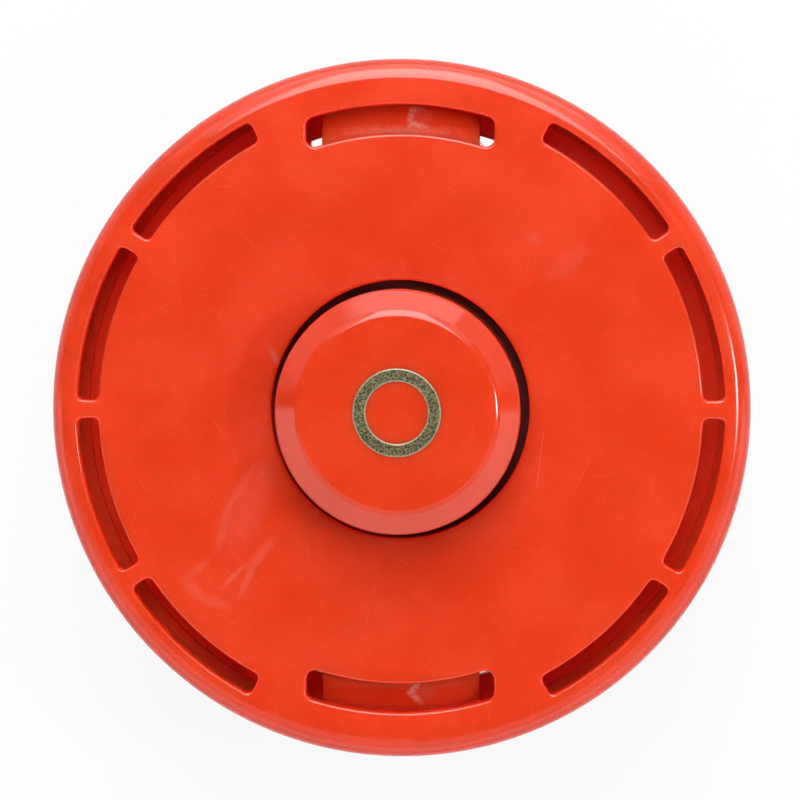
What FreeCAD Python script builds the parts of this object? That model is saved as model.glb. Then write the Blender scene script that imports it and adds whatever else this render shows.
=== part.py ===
"""Bump feed trimmer head, lying on its hub with the bump knob up.

Millimetres. The origin is the centre of the hub face, +Z runs along the drive axis to the knob.
The two latch arms stand at +Y and -Y, the two line eyelets at +X and -X.
"""
import math
import os

import FreeCAD
import Part

Vec = FreeCAD.Vector
Z_AXIS = Vec(0, 0, 1)

# Drive hub and adapter
hub_radius = 20.0
hub_height = 10.0
hub_rim_width = 2.5
hub_pocket_depth = 7.5
hub_pocket_count = 6
hub_rib_width = 2.4
hub_core_wall = 4.0
hub_edge_round = 1.0
thread_bore_radius = 4.32
thread_mouth_chamfer = 0.8
adapter_spigot_radius = 7.0
adapter_spigot_height = 4.0
adapter_hex_flats = 15.0
adapter_hex_height = 8.0
adapter_clearance = 0.05
retainer_thickness = 0.8
retainer_width = 2.6

# Housing shell
roof_thickness = 3.0
housing_wall = 2.8
shoulder_round = 8.0
roof_rib_count = 12
roof_rib_width = 2.2
roof_rib_height = 5.0
roof_rib_end_height = 0.6
roof_rib_run_out = 1.0
post_wall = 2.2
post_bore_gap = 0.34
post_below_spool_top = 3.0
flange_thickness = 3.0
flange_inset = 0.8
spigot_width = 2.0
spigot_height = 2.5
spigot_clearance = 0.12
key_count = 4
key_width = 6.0
key_height = 3.0
key_depth = 1.3
key_clearance = 0.25

# Spool and its drive lugs
spool_flange_radius = 38.6
spool_wall_gap = 2.6
spool_flange = 2.2
spool_divider = 1.6
divider_inset = 1.1
chamber_width = 9.5
drum_wall = 2.6
spool_running_fit = 0.08
spool_edge_break = 0.6
line_notch_width = 2.8
line_notch_depth = 5.0
lug_count = 6
lug_width_deg = 14.0
lug_height = 2.3
lug_inner_radius = 26.0
lug_outer_radius = 34.0
lug_end_clearance = 0.3
bump_travel = 7.0

# Bump spring and its washers
wire_diameter = 1.8
spring_turns = 6.0
spring_post_gap = 1.3
spring_pocket_gap = 1.1
spring_pocket_depth = 12.4
washer_thickness = 1.2
washer_edge_gap = 0.4
thrust_gap = 0.1

# Cover
cover_thickness = 2.8
cover_wall = 2.6
rim_height = 14.0
rim_round = 3.1
rim_land = 1.0
rim_inner_round = 1.6
rim_seat_gap = 0.1
knob_hole_gap = 1.3
collar_width = 2.4
collar_height = 1.8
narrow_slot_inset = 3.5
narrow_slot_width = 3.4
narrow_slot_pitch_deg = 32.0
narrow_slot_rib = 2.9
narrow_slot_corner = 0.95
wide_slot_inset = 0.8
wide_slot_width = 4.6
wide_slot_half_length = 14.8
wide_slot_corner = 1.4
slot_edge_round = 0.45
hole_edge_round = 0.6

# Latch arms and their catches
arm_half_width = 12.4
arm_slit = 2.4
arm_relief = 0.85
nose_reach = 3.6
nose_drop = 2.8
nose_lip = 1.0
catch_clearance = 0.4
catch_wall = 2.2
catch_thickness = 2.4
catch_bite = 1.9
grip_count = 4
grip_height = 0.9
grip_width = 1.5
grip_pitch = 3.4
grip_half_length = 10.0
grip_below_flange = 3.0

# Bump knob and wear ring
knob_radius = 19.0
knob_rise = 12.8
knob_bevel_width = 3.6
knob_bevel_height = 2.6
knob_face_round = 2.2
knob_shoulder_round = 0.8
knob_wall = 2.6
knob_roof = 3.0
knob_core_radius = 10.0
knob_core_depth = 8.0
knob_seat_gap = 0.1
clip_wall = 2.2
clip_clearance = 0.2
clip_post_gap = 1.0
clip_socket_depth = 7.0
clip_count = 4
clip_slot_width = 5.0
clip_slot_height = 11.0
clip_nose = 0.9
clip_nose_height = 1.6
clip_groove_clearance = 0.3
ring_outer_radius = 6.85
ring_inner_radius = 4.8
ring_depth = 5.0
ring_proud = 0.2
ring_edge_round = 0.2

# Line eyelets
eyelet_bore_radius = 1.75
eyelet_barrel_radius = 4.4
eyelet_lip_radius = 6.4
eyelet_lip_length = 2.8
eyelet_mouth_round = 1.4
eyelet_inner_break = 0.8
eyelet_inner_recess = 0.4
eyelet_boss_radius = 7.6
eyelet_boss_length = 3.5
eyelet_flange_gap = 0.9
eyelet_fit = 0.02

# Overrun of a cutting solid past the face that it cuts
cut_over = 1.0

# Heights along the drive axis
roof_outer_z = hub_height
roof_inner_z = roof_outer_z + roof_thickness
pocket_top_z = adapter_spigot_height + adapter_hex_height
spool_bottom_z = roof_inner_z + lug_end_clearance + bump_travel + lug_height
chamber_top_z = spool_bottom_z + spool_flange + chamber_width
divider_top_z = chamber_top_z + spool_divider
spool_top_z = divider_top_z + chamber_width + spool_flange
cover_floor_z = spool_top_z + lug_height + lug_end_clearance
cover_face_z = cover_floor_z + cover_thickness
flange_top_z = cover_face_z - rim_height
flange_bottom_z = flange_top_z - flange_thickness
skirt_end_z = cover_floor_z - rim_seat_gap
knob_face_z = cover_face_z + knob_rise
knob_base_z = spool_top_z + knob_seat_gap
clip_end_z = spool_top_z - clip_socket_depth + clip_clearance
spring_shoulder_z = spool_bottom_z + spring_pocket_depth
thrust_washer_z = spring_shoulder_z - thrust_gap - washer_thickness
spring_bottom_z = roof_inner_z + washer_thickness
eyelet_z = flange_bottom_z - eyelet_flange_gap - eyelet_boss_radius

# Radii across the drive axis
housing_inner_radius = spool_flange_radius + spool_wall_gap
housing_radius = housing_inner_radius + housing_wall
nose_radius = housing_radius + nose_reach
catch_radius = nose_radius + catch_clearance
wide_slot_inner = housing_radius - wide_slot_inset
wide_slot_outer = wide_slot_inner + wide_slot_width
narrow_slot_inner = housing_radius + narrow_slot_inset
narrow_slot_outer = narrow_slot_inner + narrow_slot_width
cover_radius = narrow_slot_outer + rim_land + rim_round
skirt_inner_radius = cover_radius - cover_wall
flange_radius = cover_radius - flange_inset
spigot_radius = skirt_inner_radius - spigot_clearance
knob_hole_radius = knob_radius + knob_hole_gap
post_bore_radius = adapter_hex_flats / math.sqrt(3) + post_bore_gap
post_radius = post_bore_radius + post_wall
hub_core_radius = adapter_spigot_radius + hub_core_wall
spool_bore_radius = post_radius + spool_running_fit
spring_radius = post_radius + spring_post_gap + wire_diameter / 2
spring_pocket_radius = spring_radius + wire_diameter / 2 + spring_pocket_gap
drum_radius = spring_pocket_radius + drum_wall
clip_radius = post_radius + clip_post_gap + clip_wall
clip_socket_radius = clip_radius + clip_clearance
half_pitch_deg = 180.0 / lug_count


def lathe(corners):
    """Solid of revolution about Z from (radius, height, rounding) corners."""
    flat = [Vec(c[0], 0, c[1]) for c in corners]
    edges = []
    starts = []
    ends = []
    arcs = []
    for i, corner in enumerate(corners):
        point = flat[i]
        size = corner[2] if len(corner) > 2 else 0
        back = (flat[i - 1] - point).normalize()
        ahead = (flat[(i + 1) % len(flat)] - point).normalize()
        if size == 0:
            starts.append(point)
            ends.append(point)
            arcs.append(None)
            continue
        half = back.getAngle(ahead) / 2
        reach = size / math.tan(half)
        middle = point + (back + ahead).normalize() * (size / math.sin(half) - size)
        starts.append(point + back * reach)
        ends.append(point + ahead * reach)
        arcs.append(middle)
    for i in range(len(flat)):
        if arcs[i] is not None:
            edges.append(Part.Arc(starts[i], arcs[i], ends[i]).toShape())
        following = starts[(i + 1) % len(flat)]
        if ends[i].distanceToPoint(following) > 1e-6:
            edges.append(Part.LineSegment(ends[i], following).toShape())
    outline = Part.Wire(Part.__sortEdges__(edges))
    return Part.Face(outline).revolve(Vec(0, 0, 0), Z_AXIS, 360)


def ring(inner, outer, low, high):
    """Plain ring or washer about Z."""
    return lathe([(inner, low), (outer, low), (outer, high), (inner, high)])


def block(x0, x1, y0, y1, z0, z1):
    """Box between two corners."""
    return Part.makeBox(x1 - x0, y1 - y0, z1 - z0, Vec(x0, y0, z0))


def turned(shape, degrees):
    """Copy turned about Z."""
    copy = shape.copy()
    copy.rotate(Vec(0, 0, 0), Z_AXIS, degrees)
    return copy


def around(shape, count, first_deg=0.0):
    """Equally spaced copies about Z."""
    return [turned(shape, first_deg + 360.0 * i / count) for i in range(count)]


def sector(inner, outer, low, high, centre_deg, width_deg, corner=0.0):
    """Piece of a ring, its upright edges rounded if a corner radius is given."""
    first = math.radians(centre_deg - width_deg / 2)
    last = math.radians(centre_deg + width_deg / 2)
    middle = math.radians(centre_deg)

    def at(radius, angle):
        return Vec(radius * math.cos(angle), radius * math.sin(angle), low)

    outline = Part.Wire([
        Part.Arc(at(inner, first), at(inner, middle), at(inner, last)).toShape(),
        Part.LineSegment(at(inner, last), at(outer, last)).toShape(),
        Part.Arc(at(outer, last), at(outer, middle), at(outer, first)).toShape(),
        Part.LineSegment(at(outer, first), at(inner, first)).toShape(),
    ])
    solid = Part.Face(outline).extrude(Vec(0, 0, high - low))
    if corner > 0:
        solid = solid.makeFillet(corner, upright_edges(solid))
    return solid


def upright_edges(solid):
    """Edges parallel to Z."""
    return [e for e in solid.Edges if e.BoundBox.XLength + e.BoundBox.YLength < 1e-6]


def latch_strip(half_width, low, high, reach):
    """Boxes over both latch places, as wide as the strip."""
    return Part.makeCompound([
        block(-half_width, half_width, hub_radius, reach, low, high),
        block(-half_width, half_width, -reach, -hub_radius, low, high),
    ])


def lugs(low, high, first_deg):
    """Drive lugs on one face."""
    one = sector(lug_inner_radius, lug_outer_radius, low, high, 0, lug_width_deg)
    return around(one, lug_count, first_deg)


def hexagon(flats, low, high):
    """Hexagonal prism about Z."""
    corner = flats / math.sqrt(3)
    points = []
    for i in range(7):
        angle = math.radians(60 * i)
        points.append(Vec(corner * math.cos(angle), corner * math.sin(angle), low))
    return Part.Face(Part.makePolygon(points)).extrude(Vec(0, 0, high - low))


def sideways(shape, turn_deg):
    """Turn a solid made about Z so that it points along X, at the height of the eyelets."""
    copy = shape.copy()
    copy.rotate(Vec(0, 0, 0), Vec(0, 1, 0), 90)
    copy.translate(Vec(0, 0, eyelet_z))
    return turned(copy, turn_deg)


def make_housing():
    """Moulded shell: hub, ribbed roof, post, skirt, flange and the two latch arms."""
    boss_end = housing_radius + eyelet_boss_length
    shell = lathe([
        (adapter_spigot_radius + adapter_clearance, 0),
        (hub_radius, 0, hub_edge_round),
        (hub_radius, roof_outer_z, hub_edge_round),
        (housing_radius, roof_outer_z, shoulder_round),
        (housing_radius, skirt_end_z),
        (housing_inner_radius, skirt_end_z),
        (housing_inner_radius, roof_inner_z, shoulder_round - housing_wall),
        (post_radius, roof_inner_z),
        (post_radius, spool_top_z - post_below_spool_top),
        (post_bore_radius, spool_top_z - post_below_spool_top),
        (post_bore_radius, pocket_top_z),
        (adapter_spigot_radius + adapter_clearance, pocket_top_z),
    ])
    adapter_pocket = hexagon(
        adapter_hex_flats + 2 * adapter_clearance, adapter_spigot_height, pocket_top_z)

    pocket_outer = hub_radius - hub_rim_width
    pocket_middle = (hub_core_radius + pocket_outer) / 2
    pocket_width_deg = 360.0 / hub_pocket_count - math.degrees(hub_rib_width / pocket_middle)
    hub_pocket = sector(
        hub_core_radius, pocket_outer, -cut_over, hub_pocket_depth, 0, pocket_width_deg)

    flange = lathe([
        (housing_radius - housing_wall / 2, flange_bottom_z),
        (flange_radius, flange_bottom_z, flange_thickness / 3),
        (flange_radius, flange_top_z),
        (spigot_radius, flange_top_z),
        (spigot_radius, flange_top_z + spigot_height),
        (spigot_radius - spigot_width, flange_top_z + spigot_height),
        (spigot_radius - spigot_width, flange_top_z),
        (housing_radius - housing_wall / 2, flange_top_z),
    ])
    arm_gap = latch_strip(
        arm_half_width + arm_slit, flange_bottom_z - cut_over, flange_top_z + cut_over,
        housing_radius + arm_relief)
    relief = ring(
        housing_inner_radius - housing_wall, housing_radius + arm_relief,
        flange_bottom_z - cut_over, flange_top_z + cut_over)
    flange = flange.cut(relief.common(arm_gap))

    slit_ring = ring(
        housing_inner_radius - arm_relief, housing_radius + arm_relief,
        -cut_over, skirt_end_z + cut_over)
    slit_sides = latch_strip(
        arm_half_width + arm_slit, -cut_over, skirt_end_z + cut_over, cover_radius)
    slit_core = latch_strip(
        arm_half_width, -2 * cut_over, skirt_end_z + 2 * cut_over, cover_radius + cut_over)
    slits = slit_ring.common(slit_sides.cut(slit_core))

    hook_z = skirt_end_z - nose_drop - nose_lip
    nose = lathe([
        (housing_inner_radius + housing_wall / 2, skirt_end_z),
        (housing_radius, skirt_end_z),
        (nose_radius, skirt_end_z - nose_drop),
        (nose_radius, hook_z),
        (housing_inner_radius + housing_wall / 2, hook_z),
    ])
    noses = nose.common(latch_strip(
        arm_half_width, hook_z - cut_over, skirt_end_z + cut_over, cover_radius))

    grips = []
    for i in range(grip_count):
        top = flange_bottom_z - grip_below_flange - i * grip_pitch
        band = lathe([
            (housing_radius - housing_wall / 2, top - grip_width),
            (housing_radius, top - grip_width),
            (housing_radius + grip_height, top - grip_width * 0.65),
            (housing_radius + grip_height, top - grip_width * 0.35),
            (housing_radius, top),
            (housing_radius - housing_wall / 2, top),
        ])
        grips.append(band.common(
            latch_strip(grip_half_length, top - grip_width - cut_over, top + cut_over, cover_radius)))

    rib_start = hub_radius - hub_rim_width / 2
    rib_end = housing_radius - shoulder_round + roof_rib_run_out
    rib_outline = Part.makePolygon([
        Vec(rib_start, -roof_rib_width / 2, roof_outer_z + roof_thickness / 2),
        Vec(rib_start, -roof_rib_width / 2, roof_outer_z - roof_rib_height),
        Vec(rib_end, -roof_rib_width / 2, roof_outer_z - roof_rib_end_height),
        Vec(rib_end, -roof_rib_width / 2, roof_outer_z + roof_thickness / 2),
        Vec(rib_start, -roof_rib_width / 2, roof_outer_z + roof_thickness / 2),
    ])
    roof_rib = Part.Face(rib_outline).extrude(Vec(0, roof_rib_width, 0))

    key = block(
        spigot_radius - spigot_width / 2, skirt_inner_radius + key_depth,
        -key_width / 2, key_width / 2, flange_top_z - flange_thickness / 2, flange_top_z + key_height)

    boss = lathe([
        (0, housing_radius - housing_wall * 0.75),
        (eyelet_boss_radius, housing_radius - housing_wall * 0.75),
        (eyelet_boss_radius, boss_end, eyelet_flange_gap),
        (0, boss_end),
    ])
    eyelet_hole = Part.makeCylinder(
        eyelet_barrel_radius + eyelet_fit, boss_end, Vec(0, 0, post_radius + spool_wall_gap))

    body = shell.fuse([flange])
    body = body.cut(slits)
    added = [noses] + grips
    added += around(roof_rib, roof_rib_count, 180.0 / roof_rib_count)
    added += around(key, key_count, 180.0 / key_count)
    added += lugs(roof_inner_z - roof_thickness / 2, roof_inner_z + lug_height, 0)
    added += [sideways(boss, 0), sideways(boss, 180)]
    body = body.fuse(added)
    removed = [adapter_pocket, sideways(eyelet_hole, 0), sideways(eyelet_hole, 180)]
    removed += around(hub_pocket, hub_pocket_count, 180.0 / hub_pocket_count)
    return body.cut(removed).removeSplitter()


def make_cover():
    """Moulded disc with rim, slots, knob hole, catches for the latch noses and drive lugs."""
    disc = lathe([
        (knob_hole_radius, cover_floor_z - collar_height),
        (knob_hole_radius + collar_width, cover_floor_z - collar_height),
        (knob_hole_radius + collar_width, cover_floor_z),
        (skirt_inner_radius, cover_floor_z, rim_inner_round),
        (skirt_inner_radius, flange_top_z + rim_seat_gap),
        (cover_radius, flange_top_z + rim_seat_gap),
        (cover_radius, cover_face_z, rim_round),
        (knob_hole_radius, cover_face_z, hole_edge_round),
    ])
    slot_middle = (narrow_slot_inner + narrow_slot_outer) / 2
    slot_width_deg = narrow_slot_pitch_deg - math.degrees(narrow_slot_rib / slot_middle)
    slots = []
    for side in (0, 180):
        for step in (-1.5, -0.5, 0.5, 1.5):
            slots.append(sector(
                narrow_slot_inner, narrow_slot_outer, cover_floor_z - collar_height,
                cover_face_z + cut_over, side + step * narrow_slot_pitch_deg, slot_width_deg,
                narrow_slot_corner))
    wide_band = ring(
        wide_slot_inner, wide_slot_outer, cover_floor_z - collar_height, cover_face_z + cut_over)
    wide_slots = wide_band.common(latch_strip(
        wide_slot_half_length, cover_floor_z - collar_height, cover_face_z + cut_over, cover_radius))
    for wide in wide_slots.Solids:
        slots.append(wide.makeFillet(wide_slot_corner, upright_edges(wide)))
    disc = disc.cut(slots)
    mouth_edges = []
    for edge in disc.Edges:
        box = edge.BoundBox
        reach = max(abs(box.XMin), abs(box.XMax), abs(box.YMin), abs(box.YMax))
        on_face = box.ZMin > cover_face_z - 1e-4
        inside_rim = reach < narrow_slot_outer + rim_land / 2
        if on_face and inside_rim and edge.CenterOfMass.Length > 0:
            if math.hypot(edge.CenterOfMass.x, edge.CenterOfMass.y) > knob_hole_radius:
                mouth_edges.append(edge)
    disc = disc.makeFillet(slot_edge_round, mouth_edges)

    hook_z = skirt_end_z - nose_drop - nose_lip
    catch_top = hook_z - rim_seat_gap
    catch = lathe([
        (nose_radius - catch_bite, catch_top - catch_thickness),
        (catch_radius + catch_wall, catch_top - catch_thickness),
        (catch_radius + catch_wall, cover_floor_z + cover_thickness / 2),
        (catch_radius, cover_floor_z + cover_thickness / 2),
        (catch_radius, catch_top),
        (nose_radius - catch_bite, catch_top),
    ])
    catches = catch.common(latch_strip(
        arm_half_width, catch_top - catch_thickness - cut_over, cover_face_z, cover_radius))
    notch = block(
        skirt_inner_radius - cover_wall, skirt_inner_radius + key_depth + key_clearance,
        -key_width / 2 - key_clearance, key_width / 2 + key_clearance,
        flange_bottom_z, flange_top_z + key_height + key_clearance)
    added = [catches]
    added += lugs(cover_floor_z - lug_height, cover_floor_z + cover_thickness / 2, half_pitch_deg)
    body = disc.fuse(added)
    return body.cut(around(notch, key_count, 180.0 / key_count)).removeSplitter()


def make_spool():
    """Moulded spool: two line chambers, drive lugs on both faces, sockets for spring and knob."""
    socket_floor_z = spool_top_z - clip_socket_depth
    groove_low = clip_end_z - clip_groove_clearance / 2
    groove_high = clip_end_z + clip_nose_height + clip_groove_clearance
    groove_radius = clip_radius + clip_nose + clip_groove_clearance
    body = lathe([
        (spool_bore_radius, spring_shoulder_z),
        (spring_pocket_radius, spring_shoulder_z),
        (spring_pocket_radius, spool_bottom_z),
        (spool_flange_radius - spool_edge_break, spool_bottom_z),
        (spool_flange_radius, spool_bottom_z + spool_edge_break),
        (spool_flange_radius, spool_bottom_z + spool_flange - spool_edge_break),
        (spool_flange_radius - spool_edge_break, spool_bottom_z + spool_flange),
        (drum_radius, spool_bottom_z + spool_flange),
        (drum_radius, chamber_top_z),
        (spool_flange_radius - divider_inset, chamber_top_z),
        (spool_flange_radius - divider_inset, divider_top_z),
        (drum_radius, divider_top_z),
        (drum_radius, spool_top_z - spool_flange),
        (spool_flange_radius - spool_edge_break, spool_top_z - spool_flange),
        (spool_flange_radius, spool_top_z - spool_flange + spool_edge_break),
        (spool_flange_radius, spool_top_z - spool_edge_break),
        (spool_flange_radius - spool_edge_break, spool_top_z),
        (clip_socket_radius, spool_top_z),
        (clip_socket_radius, groove_high),
        (groove_radius, groove_high),
        (groove_radius, groove_low),
        (clip_socket_radius, groove_low),
        (clip_socket_radius, socket_floor_z),
        (spool_bore_radius, socket_floor_z),
    ])
    added = lugs(spool_bottom_z - lug_height, spool_bottom_z + spool_flange / 2, 0)
    added += lugs(spool_top_z - spool_flange / 2, spool_top_z + lug_height, 0)
    body = body.fuse(added)
    notch = block(
        spool_flange_radius - line_notch_depth, spool_flange_radius + cut_over,
        -line_notch_width / 2, line_notch_width / 2, spool_bottom_z - cut_over, spool_top_z + cut_over)
    return body.cut(around(notch, 2, half_pitch_deg)).removeSplitter()


def make_knob():
    """Moulded knob: bevelled shell outside, clip tube inside, groove for the wear ring."""
    ceiling_z = knob_face_z - knob_roof
    core_z = knob_face_z - knob_core_depth
    bevel_z = knob_face_z - knob_bevel_height
    inner_radius = knob_radius - knob_wall
    tube_inner = clip_radius - clip_wall
    nose_top = clip_end_z + clip_nose_height
    body = lathe([
        (0, core_z),
        (knob_core_radius, core_z),
        (knob_core_radius, ceiling_z),
        (tube_inner, ceiling_z),
        (tube_inner, clip_end_z),
        (clip_radius, clip_end_z),
        (clip_radius + clip_nose, nose_top - clip_nose_height / 4),
        (clip_radius + clip_nose, nose_top),
        (clip_radius, nose_top),
        (clip_radius, bevel_z),
        (inner_radius, bevel_z),
        (inner_radius, knob_base_z),
        (knob_radius, knob_base_z),
        (knob_radius, bevel_z, knob_shoulder_round),
        (knob_radius - knob_bevel_width, knob_face_z, knob_face_round),
        (0, knob_face_z),
    ])
    clip_slot = block(
        tube_inner - clip_wall / 2, clip_socket_radius + clip_nose + clip_clearance,
        -clip_slot_width / 2, clip_slot_width / 2, clip_end_z - cut_over, clip_end_z + clip_slot_height)
    groove = ring(
        ring_inner_radius, ring_outer_radius, knob_face_z - ring_depth, knob_face_z + cut_over)
    return body.cut(around(clip_slot, clip_count, 180.0 / clip_count) + [groove]).removeSplitter()


def make_wear_ring():
    """Turned steel ring that stands a little proud of the knob face, its exposed edges rounded."""
    ring_top_z = knob_face_z + ring_proud
    return lathe([
        (ring_inner_radius, knob_face_z - ring_depth),
        (ring_outer_radius, knob_face_z - ring_depth),
        (ring_outer_radius, ring_top_z, ring_edge_round),
        (ring_inner_radius, ring_top_z, ring_edge_round),
    ])


def make_spring():
    """Compression spring with closed ends, the wire drawn as a hexagon."""
    low = spring_bottom_z + wire_diameter / 2
    high = thrust_washer_z - wire_diameter / 2
    closed = wire_diameter * 1.02
    steps_per_turn = 16
    steps = int(round(spring_turns * steps_per_turn))
    points = []
    for i in range(steps + 1):
        turn = i / steps_per_turn
        body_turns = spring_turns - 2
        share = min(max((turn - 1) / body_turns, 0), 1)
        ends = min(turn, 1) + max(turn - (spring_turns - 1), 0)
        z = low + closed * ends + (high - low - 2 * closed) * share
        angle = 2 * math.pi * turn
        points.append(Vec(spring_radius * math.cos(angle), spring_radius * math.sin(angle), z))
    curve = Part.BSplineCurve()
    curve.interpolate(points)
    path = Part.Wire([curve.toShape()])
    tangent = curve.tangent(curve.FirstParameter)[0]
    side = Vec(1, 0, 0)
    up = tangent.cross(side).normalize()
    corners = []
    for i in range(7):
        angle = math.radians(60 * i)
        reach = wire_diameter / 2
        corners.append(
            points[0] + side * (reach * math.cos(angle)) + up * (reach * math.sin(angle)))
    return path.makePipeShell([Part.makePolygon(corners)], True, True)


def make_adapter():
    """Steel hex insert with the drive thread, drawn at its minor diameter."""
    spigot = ring(
        thread_bore_radius, adapter_spigot_radius, 0,
        adapter_spigot_height + adapter_hex_height / 2)
    nut = hexagon(adapter_hex_flats, adapter_spigot_height, pocket_top_z)
    bore = Part.makeCylinder(
        thread_bore_radius, pocket_top_z + 2 * cut_over, Vec(0, 0, -cut_over))
    lower = Part.makeCone(
        thread_bore_radius + thread_mouth_chamfer, thread_bore_radius, thread_mouth_chamfer)
    upper = Part.makeCone(
        thread_bore_radius, thread_bore_radius + thread_mouth_chamfer, thread_mouth_chamfer,
        Vec(0, 0, pocket_top_z - thread_mouth_chamfer))
    return spigot.fuse(nut).cut([bore, lower, upper]).removeSplitter()


def make_eyelet():
    """Turned line eyelet with rounded mouths, made about Z."""
    inner_end = housing_inner_radius + eyelet_inner_recess
    lip = housing_radius + eyelet_boss_length
    return lathe([
        (eyelet_bore_radius, inner_end + eyelet_inner_break),
        (eyelet_bore_radius + eyelet_inner_break, inner_end),
        (eyelet_barrel_radius, inner_end),
        (eyelet_barrel_radius, lip),
        (eyelet_lip_radius, lip),
        (eyelet_lip_radius, lip + eyelet_lip_length, eyelet_lip_length / 2),
        (eyelet_bore_radius, lip + eyelet_lip_length, eyelet_mouth_round),
    ])


washer_inner = post_radius + washer_edge_gap
washer_outer = spring_pocket_radius - washer_edge_gap
eyelet = make_eyelet()
pieces = {
    "housing": make_housing(),
    "cover": make_cover(),
    "spool": make_spool(),
    "bump_knob": make_knob(),
    "wear_ring": make_wear_ring(),
    "bump_spring": make_spring(),
    "thrust_washer": ring(
        washer_inner, washer_outer, thrust_washer_z, thrust_washer_z + washer_thickness),
    "spring_seat": ring(
        washer_inner, washer_outer, roof_inner_z, roof_inner_z + washer_thickness),
    "drive_adapter": make_adapter(),
    "adapter_retainer": ring(
        post_bore_radius - retainer_width, post_bore_radius,
        pocket_top_z, pocket_top_z + retainer_thickness),
    "eyelet_right": sideways(eyelet, 0),
    "eyelet_left": sideways(eyelet, 180),
}

os.makedirs("parts", exist_ok=True)
for name, shape in pieces.items():
    shape.exportStep("parts/" + name + ".step")
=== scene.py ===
import math

import bmesh
import bpy
from mathutils import Matrix, Vector


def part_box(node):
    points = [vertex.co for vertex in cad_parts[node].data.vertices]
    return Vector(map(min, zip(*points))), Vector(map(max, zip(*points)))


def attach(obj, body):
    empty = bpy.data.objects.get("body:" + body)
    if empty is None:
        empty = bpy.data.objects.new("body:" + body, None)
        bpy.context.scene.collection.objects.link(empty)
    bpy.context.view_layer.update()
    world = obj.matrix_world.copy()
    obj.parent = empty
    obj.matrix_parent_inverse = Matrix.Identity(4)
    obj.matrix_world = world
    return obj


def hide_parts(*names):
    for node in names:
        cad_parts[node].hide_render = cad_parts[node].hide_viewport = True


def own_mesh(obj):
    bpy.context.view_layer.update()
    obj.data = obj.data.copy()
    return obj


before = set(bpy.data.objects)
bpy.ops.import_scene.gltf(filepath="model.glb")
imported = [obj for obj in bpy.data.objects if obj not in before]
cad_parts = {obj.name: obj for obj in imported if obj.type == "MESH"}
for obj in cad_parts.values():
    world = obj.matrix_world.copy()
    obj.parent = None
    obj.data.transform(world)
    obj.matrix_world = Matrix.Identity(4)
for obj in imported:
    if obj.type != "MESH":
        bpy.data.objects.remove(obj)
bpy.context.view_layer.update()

# Drive adapter
# A turned steel insert with a hexagonal head, pressed into the hub from inside the post.
# Its left-hand M10 thread takes the shaft of the gearbox, and it is clear zinc plated.
THREAD_PITCH = 0.00125
THREAD_MINOR_RADIUS = 0.00432
THREAD_MAJOR_RADIUS = 0.00498
THREAD_FLANK = math.radians(30)
# Half the root flat, and how far the cutter stands out of the metal, as shares of the pitch.
THREAD_ROOT_SHARE = 1 / 16
THREAD_MOUTH_SHARE = 0.1
THREAD_OVERRUN = 0.002
THREAD_STEPS_PER_TURN = 40
THREAD_CREASE = 20
ADAPTER_CREASE = 25
ADAPTER_GREY = (0.42, 0.43, 0.45)
ADAPTER_SILVER = (0.62, 0.63, 0.65)
ADAPTER_ROUGHNESS = 0.34


def add(tree, kind, inputs=None, **settings):
    """Adds a node, sets its options, then fills or links its inputs."""
    node = tree.nodes.new(kind)
    for option, value in settings.items():
        setattr(node, option, value)
    for socket, value in (inputs or {}).items():
        if isinstance(value, bpy.types.NodeSocket):
            tree.links.new(value, node.inputs[socket])
        else:
            node.inputs[socket].default_value = value
    return node


def math_node(tree, operation, first, second=0.0):
    """One sum on one or two values."""
    return add(tree, "ShaderNodeMath", {0: first, 1: second}, operation=operation).outputs[0]


def vector_node(tree, operation, first, second=(0, 0, 0)):
    """One sum on one or two vectors."""
    return add(tree, "ShaderNodeVectorMath", {0: first, 1: second}, operation=operation)


def point(tree, x=0.0, y=0.0, z=0.0):
    """A vector from three values."""
    return add(tree, "ShaderNodeCombineXYZ", {0: x, 1: y, 2: z}).outputs[0]


def ramp(tree, value, start, end, low=0.0, high=1.0):
    """Smooth step from low at start to high at end."""
    node = add(tree, "ShaderNodeMapRange", {
        "Value": value, "From Min": start, "From Max": end, "To Min": low, "To Max": high,
    }, interpolation_type="SMOOTHSTEP")
    return node.outputs[0]


def per_metre(tree, size):
    """How many features of a size fit in a metre."""
    return math_node(tree, "DIVIDE", 1.0, size)


def noise(tree, vector, scale, detail, roughness=0.5):
    """Noise with so many features to the metre."""
    return add(tree, "ShaderNodeTexNoise", {
        "Vector": vector, "Scale": scale, "Detail": detail, "Roughness": roughness}).outputs[0]


# The colour sockets of a Mix node share their names with others, so they go by their places.
MIX_SHARE = 0
MIX_FIRST = 6
MIX_SECOND = 7
MIX_RESULT = 2


def mixed(tree, share, first, second, blend="MIX"):
    """Mixes two colours, each a plain colour or the output of a node."""
    inputs = {MIX_SHARE: share}
    for socket, colour in ((MIX_FIRST, first), (MIX_SECOND, second)):
        linked = isinstance(colour, bpy.types.NodeSocket)
        inputs[socket] = colour if linked else (*colour, 1.0)
    return add(tree, "ShaderNodeMix", inputs, data_type="RGBA", blend_type=blend).outputs[MIX_RESULT]


def shader_group(name, inputs, outputs):
    """An empty shader group with a vector input, named values and named outputs."""
    group = bpy.data.node_groups.new(name, "ShaderNodeTree")
    group.interface.new_socket("Vector", in_out="INPUT", socket_type="NodeSocketVector")
    for label, value in inputs.items():
        kind = "NodeSocketVector" if isinstance(value, tuple) else "NodeSocketFloat"
        socket = group.interface.new_socket(label, in_out="INPUT", socket_type=kind)
        socket.default_value = value
    for label in outputs:
        group.interface.new_socket(label, in_out="OUTPUT", socket_type="NodeSocketFloat")
    return group, group.nodes.new("NodeGroupInput").outputs, group.nodes.new("NodeGroupOutput")


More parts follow.
